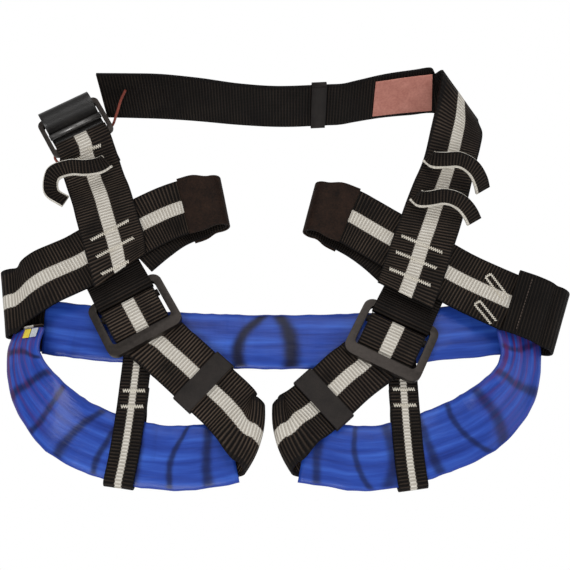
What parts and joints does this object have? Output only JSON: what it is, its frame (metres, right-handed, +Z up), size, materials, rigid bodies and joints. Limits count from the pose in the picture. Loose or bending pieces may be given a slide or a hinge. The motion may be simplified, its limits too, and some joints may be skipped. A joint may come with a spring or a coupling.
{
  "type": "sit harness",
  "caption": "Sit harness laid out flat: striped webbing belt and leg loops, blue sleeves, slider buckles, gear loops and tie-in loops.",
  "frame": {"origin": "centre of the bounding box, at the level it lies on", "axes": "+Z up, +Y from the leg loops to the belt, +X to the right as seen from above"},
  "size_m": [0.4069, 0.3035, 0.0466],
  "materials": {
    "webbing": "satin",
    "cover": "satin",
    "sleeve": "gloss",
    "dark_metal": "satin",
    "grey_metal": "satin",
    "loop": "satin",
    "label": "matt",
    "cord": "satin",
    "yellow": "matt",
    "grey": "matt"
  },
  "bodies": {
    "harness": {"waist_belt": "webbing", "waist_belt_end": "webbing", "left_waist_strap": "webbing", "left_tie_in_strap": "webbing", "right_tie_in_strap": "webbing", "right_hip_wrap": "webbing", "left_buckle_loop": "webbing", "right_buckle_loop": "webbing", "left_leg_strap": "webbing", "right_leg_strap": "webbing", "left_drop_strap": "webbing", "right_drop_strap": "webbing", "seat_band_webbing": "webbing", "left_tie_in_cover": "cover", "right_tie_in_cover": "cover", "left_leg_sleeve": "sleeve", "right_leg_sleeve": "sleeve", "seat_band_sleeve": "sleeve", "left_leg_buckle_frame": "dark_metal", "left_leg_buckle_bar": "dark_metal", "right_leg_buckle_frame": "dark_metal", "right_leg_buckle_bar": "dark_metal", "waist_buckle_frame": "dark_metal", "waist_buckle_bar": "grey_metal", "belt_label": "label", "buckle_cord": "cord", "yellow_tag": "yellow", "grey_tag": "grey"},
    "left_keeper": {"left_leg_keeper": "loop"},
    "right_keeper": {"right_leg_keeper": "loop"},
    "belt_slider": {"belt_keeper": "loop"},
    "left_gear": {"left_gear_loop": "webbing"},
    "right_upper_gear": {"right_upper_gear_loop": "webbing"},
    "right_lower_gear": {"right_lower_gear_loop": "webbing"}
  },
  "joints": [
    {"name": "left_keeper_slide", "type": "slide", "parent": "harness", "child": "left_keeper", "axis": [0.7431, -0.6691, 0], "range_m": [-0.006, 0.008]},
    {"name": "right_keeper_slide", "type": "slide", "parent": "harness", "child": "right_keeper", "axis": [-0.7431, -0.6691, 0], "range_m": [-0.006, 0.004]},
    {"name": "belt_keeper_slide", "type": "slide", "parent": "harness", "child": "belt_slider", "axis": [0.9987, 0.0514, 0], "range_m": [-0.007, 0.007]},
    {"name": "left_gear_swing", "type": "hinge", "parent": "harness", "child": "left_gear", "pos_m": [-0.1447, 0.0672, 0.0237], "axis": [0.6809, 0.7219, 0.1235], "range_deg": [-6, 6]},
    {"name": "right_upper_gear_swing", "type": "hinge", "parent": "harness", "child": "right_upper_gear", "pos_m": [0.1264, 0.0752, 0.0208], "axis": [0.8522, -0.4617, -0.246], "range_deg": [-6, 6]},
    {"name": "right_lower_gear_swing", "type": "hinge", "parent": "harness", "child": "right_lower_gear", "pos_m": [0.1162, 0.0462, 0.0219], "axis": [0.9061, -0.4082, -0.1112], "range_deg": [-6, 6]}
  ]
}
